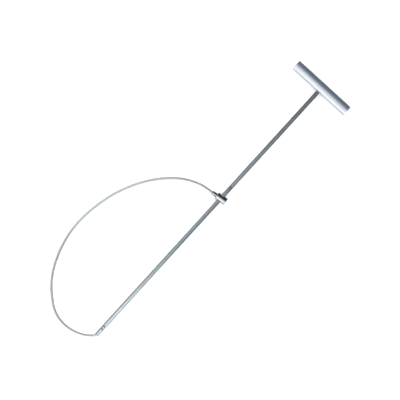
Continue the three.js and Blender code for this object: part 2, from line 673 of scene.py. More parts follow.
@dataclass(frozen=True)
class Flag:
    """An upright black sheet from one place on the floor plan to another, black to the left of that line."""

    start: tuple[float, float]
    end: tuple[float, float]
    low_z: float
    high_z: float
    rise: float
    fall: float

    def corners(self) -> list[tuple[float, float, float]]:
        """Return its corners, low ones first."""
        low = [(*self.start, self.low_z), (*self.end, self.low_z)]
        return low + [(*self.end, self.high_z), (*self.start, self.high_z)]


@dataclass
class Studio:
    """The floor, the room's light, panels and flags that only the metal mirrors, and the camera above."""

    view_width: float = 0.744
    view_middle: tuple[float, float] = (-0.00054, 0.02674)
    roll_degrees: float = -47.65
    camera_height: float = 6.0
    sensor: float = 36.0
    far_clip: float = 60.0
    floor_half: float = 14.0
    floor_grain: float = 3.0
    floor_dark: Colour = (0.93, 0.93, 0.93)
    floor_light: Colour = (0.95, 0.95, 0.95)
    panel_height: float = 0.42
    panel_half_y: float = 1.2
    room_light: float = 1.75
    panel_strength: float = 2.0
    panel_levels: tuple[tuple[float, float], ...] = (
        (-1.3, 0.9), (-0.5, 1.2), (-0.34, 2.4), (-0.25, 2.2), (-0.18, 1.2), (-0.12, 0.7), (-0.05, 0.5),
        (0.0, 0.44), (0.05, 0.8), (0.12, 0.95), (0.22, 0.95), (0.31, 0.66), (0.45, 0.38), (0.6, 0.26),
        (0.9, 0.16),
    )
    over_loop_level: float = 1.0
    over_loop_y: tuple[float, float] = (0.006, 0.045)
    over_loop_x: tuple[float, float] = (0.02, 0.1)
    side_panel_levels: tuple[tuple[float, float], ...] = (
        (-0.7, 1.3), (-0.25, 1.4), (-0.12, 0.7), (-0.02, 0.5),
    )
    side_panel_y: float = -0.3
    flags: tuple[Flag, ...] = (
        Flag((0.057, -0.2), (0.057, 0.2), 0.0, 0.22, 0.025, 0.15),
        Flag((-0.3, 0.02), (-0.21, 0.13), -0.02, 0.13, 0.02, 0.03),
    )
    flag_colour: Colour = (0.02, 0.025, 0.024)
    sky_levels: tuple[tuple[float, float], ...] = (
        (-180, 0.55), (-128, 0.65), (-92, 0.95), (-60, 1.3), (-30, 1.0), (0, 0.65),
        (30, 0.3), (60, 0.17), (92, 0.14), (128, 0.18), (180, 0.55),
    )
    sky_strength: float = 2.0
    side_level: float = 0.55
    side_from: float = 0.45
    side_to: float = 0.95

    def camera(self) -> bpy.types.Object:
        """Set up a long lens that looks straight down, turned so that the handle is at the upper right.

        Returns:
            The camera, which is made the scene's own.
        """
        lens = bpy.data.cameras.new("camera")
        lens.sensor_width = self.sensor
        lens.lens = self.sensor * self.camera_height / self.view_width
        lens.clip_end = self.far_clip
        camera = bpy.data.objects.new("camera", lens)
        low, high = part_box("rod")
        camera.location = (*self.view_middle, (low.z + high.z) / 2 + self.camera_height)
        camera.rotation_euler = (0.0, 0.0, math.radians(self.roll_degrees))
        bpy.context.scene.collection.objects.link(camera)
        bpy.context.scene.camera = camera
        return camera

    def sheet(self, name: str, corners: list[tuple[float, float, float]]) -> bpy.types.Object:
        """Make a flat sheet in the room.

        Args:
            name: the sheet's name.
            corners: its four corners in order; its front is the side from which they run anticlockwise.

        Returns:
            The new object.
        """
        mesh = bpy.data.meshes.new(name)
        mesh.from_pydata(corners, [], [(0, 1, 2, 3)])
        sheet = bpy.data.objects.new(name, mesh)
        bpy.context.scene.collection.objects.link(sheet)
        return sheet

    def mirrored_only(self, sheet: bpy.types.Object, material: bpy.types.Material) -> None:
        """Give a sheet its material, and let it show in the metal's reflections only.

        Args:
            sheet: the sheet.
            material: its light or its black.
        """
        sheet.visible_camera = False
        sheet.visible_diffuse = False
        sheet.visible_shadow = False
        sheet.data.materials.append(material)

    def level_sheet(
        self, low_x: float, high_x: float, half_y: float, z: float
    ) -> list[tuple[float, float, float]]:
        """Return the corners of a level sheet at height z, from low_x to high_x and half_y to both sides."""
        return [(low_x, -half_y, z), (high_x, -half_y, z), (high_x, half_y, z), (low_x, half_y, z)]

    def floor(self) -> bpy.types.Object:
        """Lay a matt white floor that the metal doesn't mirror.

        Returns:
            The floor, at z = 0.
        """
        half = self.floor_half
        floor = self.sheet("floor", self.level_sheet(-half, half, half, 0.0))
        floor.visible_glossy = False
        tree = Tree("pale_floor")
        place = tree.add("ShaderNodeTexCoord").outputs["Object"]
        clouds = tree.grain(place, self.floor_grain)
        colour = tree.mix(clouds, opaque(self.floor_dark), opaque(self.floor_light))
        shader = tree.add("ShaderNodeBsdfDiffuse", {"Color": colour})
        tree.material.node_tree.links.new(shader.outputs[0], tree.output.inputs[0])
        floor.data.materials.append(tree.material)
        return floor

    def glow(self, name: str, levels: tuple[tuple[float, float], ...]) -> bpy.types.Material:
        """Make a light whose brightness follows the given levels along X, and is even over the loop.

        Args:
            name: the material's name.
            levels: pairs of x in metres and brightness there.

        Returns:
            An emission: the ramp along X, which turns to over_loop_level as y goes from the rod to the
            loop, up to where x passes the slider.
        """
        tree = Tree(name)
        place = tree.add("ShaderNodeTexCoord").outputs["Object"]
        spot = tree.add("ShaderNodeSeparateXYZ", {0: place})
        low_x, high_x = levels[0][0], levels[-1][0]
        share = tree.ramp(spot.outputs[0], low_x, high_x, 0.0, 1.0)
        ramp = tree.add("ShaderNodeValToRGB", {0: share})
        stops = [((x - low_x) / (high_x - low_x), level) for x, level in levels]
        self.fill_ramp(ramp.color_ramp, stops, self.panel_strength)
        across = tree.ramp(spot.outputs[1], *self.over_loop_y, 0.0, 1.0)
        along = tree.ramp(spot.outputs[0], *self.over_loop_x, 1.0, 0.0)
        over_loop = tree.maths("MULTIPLY", across, along)
        even = self.shade(self.over_loop_level, self.panel_strength)
        glow = tree.mix(over_loop, ramp.outputs[0], even)
        light = tree.add("ShaderNodeEmission", {"Color": glow, "Strength": self.panel_strength})
        tree.material.node_tree.links.new(light.outputs[0], tree.output.inputs[0])
        return tree.material

    def panels(self) -> None:
        """Hang the lit panels: one over the holder, bright at the tip's end, and one beside the rod's tip."""
        low_x, high_x = self.panel_levels[0][0], self.panel_levels[-1][0]
        corners = self.level_sheet(low_x, high_x, self.panel_half_y, self.panel_height)
        over = self.sheet("over_panel", corners)
        self.mirrored_only(over, self.glow("over_glow", self.panel_levels))
        low_x, high_x = self.side_panel_levels[0][0], self.side_panel_levels[-1][0]
        y, top = self.side_panel_y, self.panel_height
        upright = [(low_x, y, 0.0), (high_x, y, 0.0), (high_x, y, top), (low_x, y, top)]
        beside = self.sheet("side_panel", upright)
        self.mirrored_only(beside, self.glow("side_glow", self.side_panel_levels))

    def flag_black(self, flag: Flag, name: str) -> bpy.types.Material:
        """Make a flag's black, which shows from behind only and thins out towards its top and bottom edges.

        Args:
            flag: the flag.
            name: the material's name.

        Returns:
            A black that is mixed in by a rise with height at the bottom and a fall at the top.
        """
        tree = Tree(name)
        place = tree.add("ShaderNodeTexCoord").outputs["Object"]
        height = tree.add("ShaderNodeSeparateXYZ", {0: place}).outputs[2]
        risen = tree.ramp(height, flag.low_z, flag.low_z + flag.rise, 0.0, 1.0)
        fallen = tree.ramp(height, flag.high_z - flag.fall, flag.high_z, 1.0, 0.0)
        behind = tree.add("ShaderNodeNewGeometry").outputs["Backfacing"]
        share = tree.maths("MULTIPLY", behind, tree.maths("MULTIPLY", risen, fallen))
        clear = tree.add("ShaderNodeBsdfTransparent").outputs[0]
        black = tree.add("ShaderNodeEmission", {"Color": opaque(self.flag_colour), "Strength": 1.0})
        shader = tree.add("ShaderNodeMixShader", {0: share, 1: clear, 2: black.outputs[0]})
        tree.material.node_tree.links.new(shader.outputs[0], tree.output.inputs[0])
        return tree.material

    def stand_flags(self) -> None:
        """Stand the black flags, each of which blocks the light on one side and is clear from the other."""
        for number, flag in enumerate(self.flags):
            name = f"flag_{number}"
            self.mirrored_only(self.sheet(name, flag.corners()), self.flag_black(flag, name))

    def shade(self, level: float, strength: float = 1.0) -> tuple[float, float, float, float]:
        """Return the colour of a brightness: near white where it is bright, and bluer the darker it is."""
        cool = 1 - min(level, 1.0)
        return tuple(level / strength * tint for tint in (1 - 0.18 * cool, 1.0, 1 + 0.3 * cool)) + (1.0,)

    def fill_ramp(self, ramp: bpy.types.ColorRamp, stops: list[tuple[float, float]], strength: float) -> None:
        """Set a colour ramp's stops.

        Args:
            ramp: the ramp, whose spare stops are added here.
            stops: pairs of a place from 0 to 1 and the brightness there.
            strength: the strength of the light that the ramp colours.
        """
        while len(ramp.elements) < len(stops):
            ramp.elements.new(0.5)
        for element, (place, level) in zip(ramp.elements, stops):
            element.position = place
            element.color = self.shade(level, strength)

    def sky(self) -> bpy.types.World:
        """Light the room evenly, and show the metal a room bright towards the tip and dark past the handle.

        Returns:
            A world whose reflections follow the angle round Y: atan2(x, z) of the direction, dimmed
            towards both sides of the rod.
        """
        world = bpy.data.worlds.new("soft_room")
        world.use_nodes = True
        world.cycles.sampling_method = "NONE"
        tree = world.node_tree
        tree.nodes.clear()

        def add(kind: str, values: dict[int, object], **settings: object) -> bpy.types.NodeSocket:
            """Add a node to the world.

            Args:
                kind: the node's type.
                values: an input's number, and the value or the output socket that it takes.
                settings: the node's own properties.

            Returns:
                Its first output.
            """
            node = tree.nodes.new(kind)
            for key, setting in settings.items():
                setattr(node, key, setting)
            for key, value in values.items():
                if isinstance(value, bpy.types.NodeSocket):
                    tree.links.new(value, node.inputs[key])
                else:
                    node.inputs[key].default_value = value
            return node.outputs[0]

        direction = add("ShaderNodeTexCoord", {})
        parts = tree.nodes.new("ShaderNodeSeparateXYZ")
        tree.links.new(direction, parts.inputs[0])
        angle = add("ShaderNodeMath", {0: parts.outputs[0], 1: parts.outputs[2]}, operation="ARCTAN2")
        share = add("ShaderNodeMapRange", {0: angle, 1: -math.pi, 2: math.pi, 3: 0.0, 4: 1.0})
        ramp = tree.nodes.new("ShaderNodeValToRGB")
        tree.links.new(share, ramp.inputs[0])
        stops = [((degrees + 180) / 360, level) for degrees, level in self.sky_levels]
        self.fill_ramp(ramp.color_ramp, stops, self.sky_strength)
        aside = add("ShaderNodeMath", {0: parts.outputs[1]}, operation="ABSOLUTE")
        side_share = add(
            "ShaderNodeMapRange", {0: aside, 1: self.side_from, 2: self.side_to, 3: 0.0, 4: 1.0}
        )
        side = self.shade(self.side_level, self.sky_strength)
        room = tree.nodes.new("ShaderNodeMix")
        room.data_type = "RGBA"
        tree.links.new(side_share, room.inputs[0])
        tree.links.new(ramp.outputs[0], room.inputs[6])
        room.inputs[7].default_value = side
        mirrored = add("ShaderNodeBackground", {0: room.outputs[2], 1: self.sky_strength})
        plain = add("ShaderNodeBackground", {0: opaque((1.0, 1.0, 1.0)), 1: self.room_light})
        path = tree.nodes.new("ShaderNodeLightPath")
        both = add("ShaderNodeMixShader", {0: path.outputs["Is Glossy Ray"], 1: plain, 2: mirrored})
        output = tree.nodes.new("ShaderNodeOutputWorld")
        tree.links.new(both, output.inputs[0])
        bpy.context.scene.world = world
        bpy.context.scene.view_settings.view_transform = "Standard"
        return world


# ---------------------------------------------------------------- wire rope


@dataclass
class WireRope:
    """The rope: a core strand and six outer strands, laid right-handed, from the rod round to the slider.

    Sizes are in millimetres. The route's x runs along the rod from its tip, y towards the loop, z up from
    the table.
    """

    diameter: float = 4.76
    lay: float = 31.0
    wire_lay: float = 11.0
    outer_strands: int = 6
    wires: int = 6
    section_points: int = 24
    rings: int = 560
    exit_depth: float = 3.0
    blend_start_x: float = -0.33
    blend_end_x: float = 0.0285
    wire_fit: float = 0.995
    # Painted shade: how dark the grooves between the wires and the strands' inner faces are made.
    groove_shade: float = 0.55
    inner_shade: float = 0.75
    route: tuple[tuple[float, float, float], ...] = (
        (30.6, 0, 10.3), (15, 0, 10.3), (3, 0, 10.3), (0.2, 0.4, 10.3), (-2.3, 1.5, 10.3),
        (-4.6, 3.4, 10.3), (-8.8, 8, 10.2), (-13.2, 13.6, 9.9), (-17, 20, 9.4), (-20.6, 28, 8.6),
        (-23.6, 37.5, 7.5), (-25.7, 48, 6.2), (-26.2, 60, 4.7), (-24.8, 72, 3.5), (-21, 84, 2.8),
        (-15, 95, 2.5), (-6, 106.5, 2.4), (5, 118.5, 2.4), (18, 130, 2.4), (33, 140, 2.4),
        (51, 149, 2.4), (72, 157, 2.4), (96, 163, 2.4), (120, 166, 2.4), (145, 166, 2.4),
        (170, 163.2, 2.4), (195, 158.3, 2.4), (220, 151, 2.4), (244, 141, 2.4), (267, 128.5, 2.4),
        (288, 113.5, 2.4), (306, 97, 2.6), (321, 79, 3.6), (331, 61, 5.5), (337.2, 45, 7.9),
        (339.5, 32.4, 9.6), (340.5, 24.5, 10.2), (341.5, 16.1, 10.3), (342.4, 8.7, 10.3),
    )
    # Painted shade along the rope, from its start in the rod's tip (0) to the slider (1): it scales the
    # groove shade.
    shade_along_rope: tuple[tuple[float, float], ...] = (
        (0.0, 1.2), (0.35, 1.15), (0.5, 0.8), (0.8, 0.35), (1.0, 0.35),
    )
    finish: MetalFinish = BRIGHT_WIRE

    def centre_line(self) -> np.ndarray:
        """Work out the rope's centre line as evenly spaced points.

        Returns:
            Points of a centripetal Catmull-Rom curve through the route: each span is a cubic whose end
            slopes weigh the neighbouring chords by the square roots of their lengths.
        """
        given = np.array(self.route, float)
        points = np.vstack([2 * given[0] - given[1], given, 2 * given[-1] - given[-2]])
        p0, p1, p2, p3 = points[:-3], points[1:-2], points[2:-1], points[3:]
        step0 = np.linalg.norm(p1 - p0, axis=1)[:, None] ** 0.5
        step1 = np.linalg.norm(p2 - p1, axis=1)[:, None] ** 0.5
        step2 = np.linalg.norm(p3 - p2, axis=1)[:, None] ** 0.5
        slope1 = step1 * ((p1 - p0) / step0 - (p2 - p0) / (step0 + step1) + (p2 - p1) / step1)
        slope2 = step1 * ((p2 - p1) / step1 - (p3 - p1) / (step1 + step2) + (p3 - p2) / step2)
        share = np.linspace(0, 1, 40, endpoint=False)[:, None, None]
        square = -3 * p1 + 3 * p2 - 2 * slope1 - slope2
        cube = 2 * p1 - 2 * p2 + slope1 + slope2
        spans = p1 + slope1 * share + square * share**2 + cube * share**3
        fine = np.vstack([spans.transpose(1, 0, 2).reshape(-1, 3), given[-1]])
        travelled = np.concatenate([[0], np.cumsum(np.linalg.norm(np.diff(fine, axis=0), axis=1))])
        even = np.linspace(0, travelled[-1], self.rings)
        return np.stack([np.interp(even, travelled, fine[:, axis]) for axis in range(3)], axis=1)

    def strand(
        self, line: np.ndarray, helix: float, phase: float
    ) -> tuple[np.ndarray, np.ndarray, np.ndarray]:
        """Carry a strand's section along its helix about the centre line.

        Args:
            line: the rope's centre line.
            helix: the distance of the strand's middle from the centre line; 0 for the core.
            phase: the strand's place round the rope, in radians.

        Returns:
            The grid of points, each point's amount of painted shade, which grows towards the bottom of the
            grooves between the wires and towards the strand's face that looks to the rope's middle, and its
            texture coordinates. The section is six circles round a middle one: at an angle d from the nearest
            wire's middle it reaches p * cos d + sqrt(w**2 - (p * sin d)**2), with p the wires' pitch radius
            and w their radius. It turns against the rope's lay.
        """
        strand_radius = self.diameter / 6
        wire_radius = strand_radius / 3 * self.wire_fit
        pitch_radius = 2 * strand_radius / 3
        gone = np.linspace(0, 1, len(line)) * np.linalg.norm(np.diff(line, axis=0), axis=1).sum()
        forward = np.gradient(line, axis=0)
        forward /= np.linalg.norm(forward, axis=1)[:, None]
        side = np.cross([0.0, 0.0, 1.0], forward)
        side /= np.linalg.norm(side, axis=1)[:, None]
        up = np.cross(forward, side)
        turn = (2 * math.pi * gone / self.lay + phase)[:, None]
        outwards = np.cos(turn) * side + np.sin(turn) * up
        middle = line + helix * outwards
        heading = np.gradient(middle, axis=0)
        heading /= np.linalg.norm(heading, axis=1)[:, None]
        outwards -= (outwards * heading).sum(axis=1)[:, None] * heading
        outwards /= np.linalg.norm(outwards, axis=1)[:, None]
        across = np.cross(heading, outwards)
        around = np.linspace(0, 2 * math.pi, self.section_points + 1)
        sector = 2 * math.pi / self.wires
        off_wire = (around - (np.floor(around / sector + 0.5) * sector))[None, :]
        reach = pitch_radius * np.cos(off_wire) + np.sqrt(
            np.maximum(wire_radius**2 - (pitch_radius * np.sin(off_wire)) ** 2, 0.0)
        )
        twist = around[None, :] - 2 * math.pi * gone[:, None] / self.wire_lay
        reach = np.broadcast_to(reach, twist.shape)
        ring = np.cos(twist)[..., None] * outwards[:, None] + np.sin(twist)[..., None] * across[:, None]
        grid = middle[:, None] + reach[..., None] * ring
        groove = 1 - (reach - reach.min()) / (reach.max() - reach.min())
        inward = 0.5 - 0.5 * np.cos(twist) if helix else np.ones_like(twist)
        along_uv = np.broadcast_to(gone[:, None], twist.shape) / 10
        around_uv = np.broadcast_to(around[None, :] / sector, twist.shape)
        texture = np.stack([along_uv, around_uv], axis=-1)
        # Painted shade: darker in the grooves between the wires and on the face towards the rope's middle.
        depth = np.clip(self.groove_shade * groove + self.inner_shade * inward**2, 0, 1)
        return grid, depth, texture

    def build(self) -> bpy.types.Object:
        """Returns:
            The rope, laid in the frame from the rod's tip round to the slider.
        """
        line = self.centre_line()
        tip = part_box("rod")[0].x / MM
        line = line + np.array([tip, 0.0, 0.0])
        phases = [2 * math.pi * k / self.outer_strands for k in range(self.outer_strands)]
        strands = [self.strand(line, self.diameter / 3, phase) for phase in phases]
        strands.append(self.strand(line, 0.0, 0.0))
        mesh = bpy.data.meshes.new("laid_rope")
        points, faces, groove_shades, depths_along, textures = [], [], [], [], []
        count = 0
        for grid, depth, texture in strands:
            grid, depth, texture = grid[:, :-1], depth[:, :-1], texture[:, :-1]
            rows, columns = grid.shape[:2]
            index = count + np.arange(rows * columns).reshape(rows, columns)
            beside = np.roll(index, -1, axis=1)
            cells = np.stack([index[:-1], beside[:-1], beside[1:], index[1:]], axis=-1)
            faces += cells.reshape(-1, 4).tolist()
            ends = (index[0], index[-1])
            for number, ring in enumerate(ends):
                pole = count + rows * columns + number
                pair = np.stack([ring, np.roll(ring, -1), np.full(columns, pole)], axis=-1)
                faces += (pair[:, ::-1] if number == 0 else pair).tolist()
            points.append(np.vstack([grid.reshape(-1, 3), grid[0].mean(axis=0), grid[-1].mean(axis=0)]))
            groove_shades.append(np.concatenate([depth.ravel(), [0.5, 0.5]]))
            share = np.repeat(np.linspace(0, 1, rows), columns)
            depths_along.append(np.concatenate([share, [0.0, 1.0]]))
            textures.append(np.vstack([texture.reshape(-1, 2), texture[0, 0], texture[-1, 0]]))
            count += rows * columns + 2
        mesh.from_pydata((MM * np.vstack(points)).tolist(), [], faces)
        mesh.shade_smooth()
        rope = bpy.data.objects.new("laid_rope", mesh)
        bpy.context.scene.collection.objects.link(rope)
        amount = np.array(self.shade_along_rope)
        along = np.concatenate(depths_along)
        # The rope's dark marks are painted shade, scaled along its length.
        paint(rope, "grime_and_shade", np.interp(along, amount[:, 0], amount[:, 1]) * np.concatenate(groove_shades))
        corner = np.empty(len(mesh.loops), np.int32)
        mesh.loops.foreach_get("vertex_index", corner)
        layer = mesh.uv_layers.new(name="along_wires")
        layer.data.foreach_set("uv", np.vstack(textures)[corner].astype(np.float32).ravel())
        mesh.materials.append(self.finish.make())
        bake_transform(rope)
        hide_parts("wire_rope")
        return rope


# ---------------------------------------------------------------- rod


@dataclass
class Rod:
    """The drawn rod: drilled for the rope and swaged down on it at the tip, with two crimped waists."""

    swaged_radius: float = 3.7
    swaged_length: float = 27.0
    taper: float = 2.6
    waist_depth: float = 0.5
    waist_reach: float = 2.0
    waists: tuple[float, ...] = (15.5, 21.6)
    socket_radius: float = 2.68
    socket_depth: float = 31.5
    end_chamfer: float = 1.0
    pin_hole: float = 1.55
    segments: int = 96
    mouth_radius: float = 3.66
    lip_radius: float = 0.36
    lip_middle: float = 3.3
    waist_sharpness: float = 1.3
    waist_grime: float = 0.85
    mouth_grime: float = 0.8
    socket_grime: float = 0.9
    joint_grime: float = 0.7
    # Distance from the tip in millimetres and how bright the rod is painted there: partly polishing by the
    # barrel, partly painted sheen in place of the reflection.
    polish_and_sheen: tuple[tuple[float, float], ...] = (
        (0, 1.0), (60, 1.0), (200, 0.78), (300, 0.65), (370, 0.6), (420, 0.36), (470, 0.1), (520, 0.0),
        (627, 0.0),
    )
    finish: MetalFinish = DRAWN_STEEL

    def profile(self, radius: float, length: float) -> np.ndarray:
        """Give the rod's outline, from the socket's floor out of the mouth and back along the outside.

        Args:
            radius: the rod's radius.
            length: its whole length.

        Returns:
            Rows of (along, out). Each waist is a raised cosine dip, and the swaged length rises to the
            full radius along half a cosine wave.
        """
        mouth = np.array([
            [self.socket_depth, 0.0], [self.socket_depth, self.socket_radius], [3.0, self.socket_radius],
            [1.2, self.socket_radius + 0.1], [0.45, self.socket_radius + 0.26],
        ])
        lip = arc((self.lip_radius, self.lip_middle), self.lip_radius, 215, 90, 6)
        along = np.concatenate([[0.9], np.arange(1.5, self.swaged_length + 2 * self.taper, 0.25)])
        rise = np.clip((along - self.swaged_length + self.taper) / (2 * self.taper), 0, 1)
        start = self.mouth_radius + (self.swaged_radius - self.mouth_radius) * np.clip(along / 2, 0, 1)
        out = start + (radius - self.swaged_radius) * (0.5 - 0.5 * np.cos(math.pi * rise))
        for waist in self.waists:
            gap = np.clip((along - waist) / self.waist_reach, -1, 1)
            out = out - self.waist_depth * (0.5 + 0.5 * np.cos(math.pi * gap)) ** self.waist_sharpness
        shank_start = along[-1]
        shank = np.linspace(shank_start, length - self.end_chamfer, 60)[1:]
        tail = np.array([[length, radius - self.end_chamfer], [length, 0.0]])
        swaged, plain = np.stack([along, out], 1), np.stack([shank, 0 * shank + radius], 1)
        return np.vstack([mouth, lip, swaged, plain, tail])

    def build(self) -> bpy.types.Object:
        """Build and dress the rod where the frame has it.

        Returns:
            The rod, turned, drilled across for the pin, aged, painted with sheen towards its tip, and
            dressed.
        """
        low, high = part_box("rod")
        middle_z = (low.z + high.z) / 2
        radius, length = (high.z - low.z) / 2 / MM, (high.x - low.x) / MM
        placement = Placement((low.x, 0.0, middle_z), (1.0, 0.0, 0.0), (0.0, -1.0, 0.0))
        skin = Skin(placement)
        skin.add(turned(self.profile(radius, length), self.segments))
        rod = skin.weld("drawn_rod")
        pin_low, pin_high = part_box("handle_pin")
        pin_x = (pin_low.x + pin_high.x) / 2
        across_pin = Placement((pin_x, 0.0, middle_z), (0.0, 0.0, 1.0), (1.0, 0.0, 0.0))
        drill(rod, straight_bit(across_pin, self.pin_hole, -2 * radius, 2 * radius))
        rod.data.set_sharp_from_angle(angle=math.radians(SHARP_DEGREES))
        self.age(rod, low.x)
        return dress(rod, self.finish, "rod_and_handle", "rod")

    def age(self, rod: bpy.types.Object, tip: float) -> None:
        """Darken the waists, the mouth and the handle's joint, and brighten the rod towards its tip, partly
        as polishing where the barrel runs and partly as painted sheen.

        Args:
            rod: the rod.
            tip: the x of its tip, in metres.
        """
        spots = coordinates(rod)
        along = (spots[:, 0] - tip) / MM
        out = np.hypot(spots[:, 1], spots[:, 2] - np.median(spots[:, 2])) / MM
        waists = sum(near(along - waist, 1.1) for waist in self.waists)
        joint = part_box("handle_bar")[0].x
        at_mouth = self.mouth_grime * near(np.maximum(along, 0), 1.0)
        grime_and_shade = self.waist_grime * waists + at_mouth + (out < 3.0) * self.socket_grime
        grime_and_shade = grime_and_shade + self.joint_grime * near((spots[:, 0] - joint) / MM, 1.6)
        paint(rod, "grime_and_shade", grime_and_shade)
        # Brighter towards the tip: partly polishing, partly painted sheen.
        polish_and_sheen = np.array(self.polish_and_sheen)
        paint(rod, "wear_and_sheen", np.interp(along, polish_and_sheen[:, 0], polish_and_sheen[:, 1]))


# ---------------------------------------------------------------- handle and its pin


@dataclass
class Handle:
    """The turned cross bar, bored from the side for the rod's end and from below for a spring pin."""

    edge: float = 1.2
    edge_steps: int = 7
    rod_hole: float = 4.12
    rod_depth: float = 16.3
    lip: float = 0.35
    band: float = 9.0
    turn_steps: int = 24
    along_steps: int = 20
    rings: int = 10
    end_dimple: float = 1.6
    pin_hole: float = 1.55
    pin_depth: float = 15.6
    pin_outer: float = 1.5
    pin_wall: float = 0.42
    pin_slit: float = 0.6
    pin_chamfer: float = 0.35
    hole_grime: float = 0.9
    ring_grime: float = 0.75
    finish: MetalFinish = TURNED_ALUMINIUM
    pin_finish: MetalFinish = SPRING_STEEL

    def placement(self) -> Placement:
        """Give the bar's axes.

        Returns:
            A placement whose local x, y, z are the frame's own, from the bar's middle.
        """
        low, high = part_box("handle_bar")
        middle = (low + high) / 2
        return Placement(tuple(middle), (0.0, 1.0, 0.0), (1.0, 0.0, 0.0))

    def end(self, radius: float, half: float) -> np.ndarray:
        """Give the outline of one end.

        Args:
            radius: the bar's radius.
            half: half its length.

        Returns:
            Rows of (along, out) from the edge of the middle band, along the bar, round its rounded edge
            and over the faced end to a small centre dimple.
        """
        shank = np.linspace(self.band, half - self.edge, 16)
        corner = arc((half - self.edge, radius - self.edge), self.edge, 90, 0, self.edge_steps)
        face = np.array([[half, 0.7 * radius], [half, 0.4 * radius], [half, self.end_dimple]])
        dimple = np.array([[half - 0.25, self.end_dimple - 0.3], [half - 1.0, 0.0]])
        return np.vstack([np.stack([shank, 0 * shank + radius], 1), corner[1:], face, dimple])

    def bar(self) -> bpy.types.Object:
        """Build and dress the cross bar: a bored patch, a strip round the rest of its band, and two ends.

        Returns:
            The bar.
        """
        low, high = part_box("handle_bar")
        radius, half = (high.z - low.z) / 2 / MM, (high.y - low.y) / 2 / MM
        skin = Skin(self.placement())
        opening = Opening(
            cylinder=radius,
            facing=math.pi,
            half_turn=math.pi / 4,
            low=-self.band,
            high=self.band,
            hole_y=0.0,
            hole=self.rod_hole,
            lip=self.lip,
            turn_steps=self.turn_steps,
            along_steps=self.along_steps,
        )
        skin.add(opening.wall(self.rings))
        skin.add(opening.rounded_lip(4))
        skin.add(opening.bored_blind(self.rod_depth))
        turn = np.linspace(-0.75 * math.pi, 0.75 * math.pi, 3 * self.turn_steps + 1)
        along = np.linspace(-self.band, self.band, self.along_steps + 1)[:, None]
        strip = [radius * np.cos(turn) + 0 * along, along + 0 * turn, radius * np.sin(turn) + 0 * along]
        skin.add(np.stack(strip, -1))
        for side in (1, -1):
            skin.add(turned(self.end(radius, half) * np.array([side, 1]), 4 * self.turn_steps))
        bar = skin.weld("turned_handle")
        up = Placement(self.placement().origin, (0.0, 0.0, 1.0), (1.0, 0.0, 0.0))
        drill(bar, straight_bit(up, self.pin_hole, -radius - 1, self.pin_depth - radius))
        bar.data.set_sharp_from_angle(angle=math.radians(SHARP_DEGREES))
        self.age(bar, radius, half)
        return dress(bar, self.finish, "rod_and_handle", "handle_bar")

    def age(self, bar: bpy.types.Object, radius: float, half: float) -> None:
        """Brighten the rounded edges, and darken the ring round the rod and the dimples.

        Args:
            bar: the cross bar.
            radius: its radius in millimetres.
            half: half its length.
        """
        spots = (coordinates(bar) - np.array(self.placement().origin)) / MM
        from_end = half - np.abs(spots[:, 1])
        from_axis = np.hypot(spots[:, 0], spots[:, 2])
        ring = np.hypot(spots[:, 1], spots[:, 2]) - self.rod_hole
        paint(bar, "wear_and_sheen", near(from_end - 0.5, 1.2) * (from_axis > radius - 2.5))
        on_rod_side = spots[:, 0] < 0
        grime_and_shade = on_rod_side * np.where(ring < 0.2, self.hole_grime, self.ring_grime * near(ring, 0.8))
        grime_and_shade = grime_and_shade + near(from_axis, 1.3) * (from_end < 1.5)
        paint(bar, "grime_and_shade", grime_and_shade)

    def pin(self) -> bpy.types.Object:
        """Build and dress the spring pin, rolled from strip.

        Its wall's section is a long loop with chamfered ends, carried round the pin from one side of the
        slit to the other: (r * cos turn, z, r * sin turn).

        Returns:
            The pin.
        """
        low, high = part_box("handle_pin")
        outer, length = self.pin_outer, (high.z - low.z) / MM
        inner, cut = outer - self.pin_wall, self.pin_chamfer
        loop = np.array([
            [cut * 1.6, outer], [length - cut * 1.6, outer], [length - 0.1, outer - cut],
            [length, outer - cut - 0.05],
            [length, inner], [0, inner], [0, outer - cut - 0.05], [0.1, outer - cut], [cut * 1.6, outer],
        ])
        half_slit = self.pin_slit / 2 / outer
        turn = np.linspace(half_slit, 2 * math.pi - half_slit, 49)[:, None]
        along, out = loop[None, :, 0], loop[None, :, 1]
        wall = np.stack([out * np.cos(turn), along + 0 * turn, out * np.sin(turn)], axis=-1)
        ends = [np.broadcast_to(wall[row, :-1].mean(axis=0), wall[row].shape) for row in (0, -1)]
        middle = (low + high) / 2
        skin = Skin(Placement((middle.x, middle.y, low.z), (0.0, 0.0, 1.0), (1.0, 0.0, 0.0)))
        skin.add(np.concatenate([ends[0][None], wall, ends[1][None]]))
        pin = skin.weld("spring_pin")
        spots = coordinates(pin)
        paint(pin, "wear_and_sheen", near((spots[:, 2] - low.z) / MM, 0.5))
        paint(pin, "grime_and_shade", near((spots[:, 2] - low.z) / MM - 2.0, 1.5))
        return dress(pin, self.pin_finish, "rod_and_handle", "handle_pin")


# ---------------------------------------------------------------- slider


